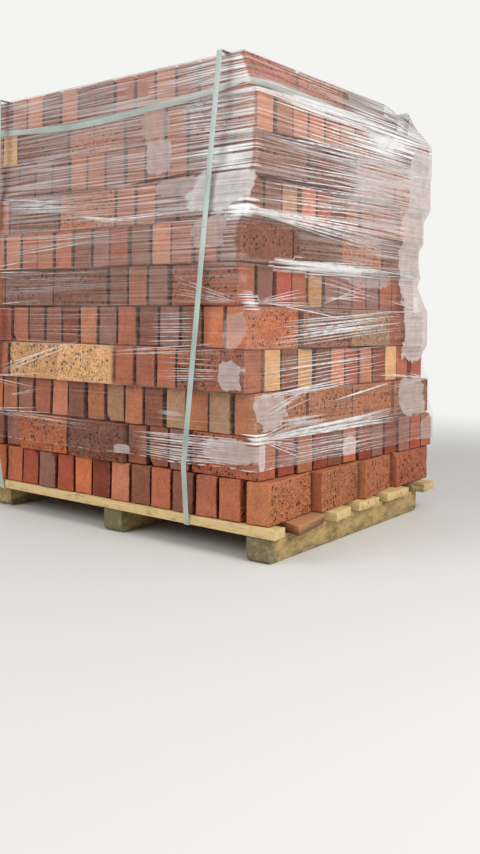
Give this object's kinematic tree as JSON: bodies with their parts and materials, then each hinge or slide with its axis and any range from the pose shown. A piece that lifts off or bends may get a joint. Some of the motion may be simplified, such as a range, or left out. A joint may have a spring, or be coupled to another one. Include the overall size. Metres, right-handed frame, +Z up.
{
  "type": "pallet of bricks",
  "caption": "Bricks stacked on edge in crossed courses on a timber pallet, strapped and wrapped in clear stretch film.",
  "frame": {"origin": "middle of the whole footprint, on the floor", "axes": "+Z up; -Y out of the front face, the one that both slanting straps cross; +X along the deck boards, to the right as seen from the front"},
  "size_m": [1.155, 0.9434, 1.2162],
  "materials": {
    "brick": "matte fired clay",
    "wood": "rough sawn softwood",
    "strap": "pale green polypropylene strap",
    "film": "clear stretch film"
  },
  "bodies": {
    "root": {"bearer_left": "wood", "bearer_middle": "wood", "bearer_right": "wood", "deck_board_1": "wood", "deck_board_2": "wood", "deck_board_3": "wood", "deck_board_4": "wood", "deck_board_5": "wood", "deck_board_6": "wood", "brick_course_01": "brick", "brick_course_02": "brick", "brick_course_03": "brick", "brick_course_04": "brick", "brick_course_05": "brick", "brick_course_06": "brick", "brick_course_07": "brick", "brick_course_08": "brick", "brick_course_09": "brick", "brick_course_10": "brick", "brick_course_11": "brick", "strap_around_top": "strap", "strap_near_corner": "strap", "strap_far_side": "strap", "stretch_film": "film"}
  },
  "joints": []
}
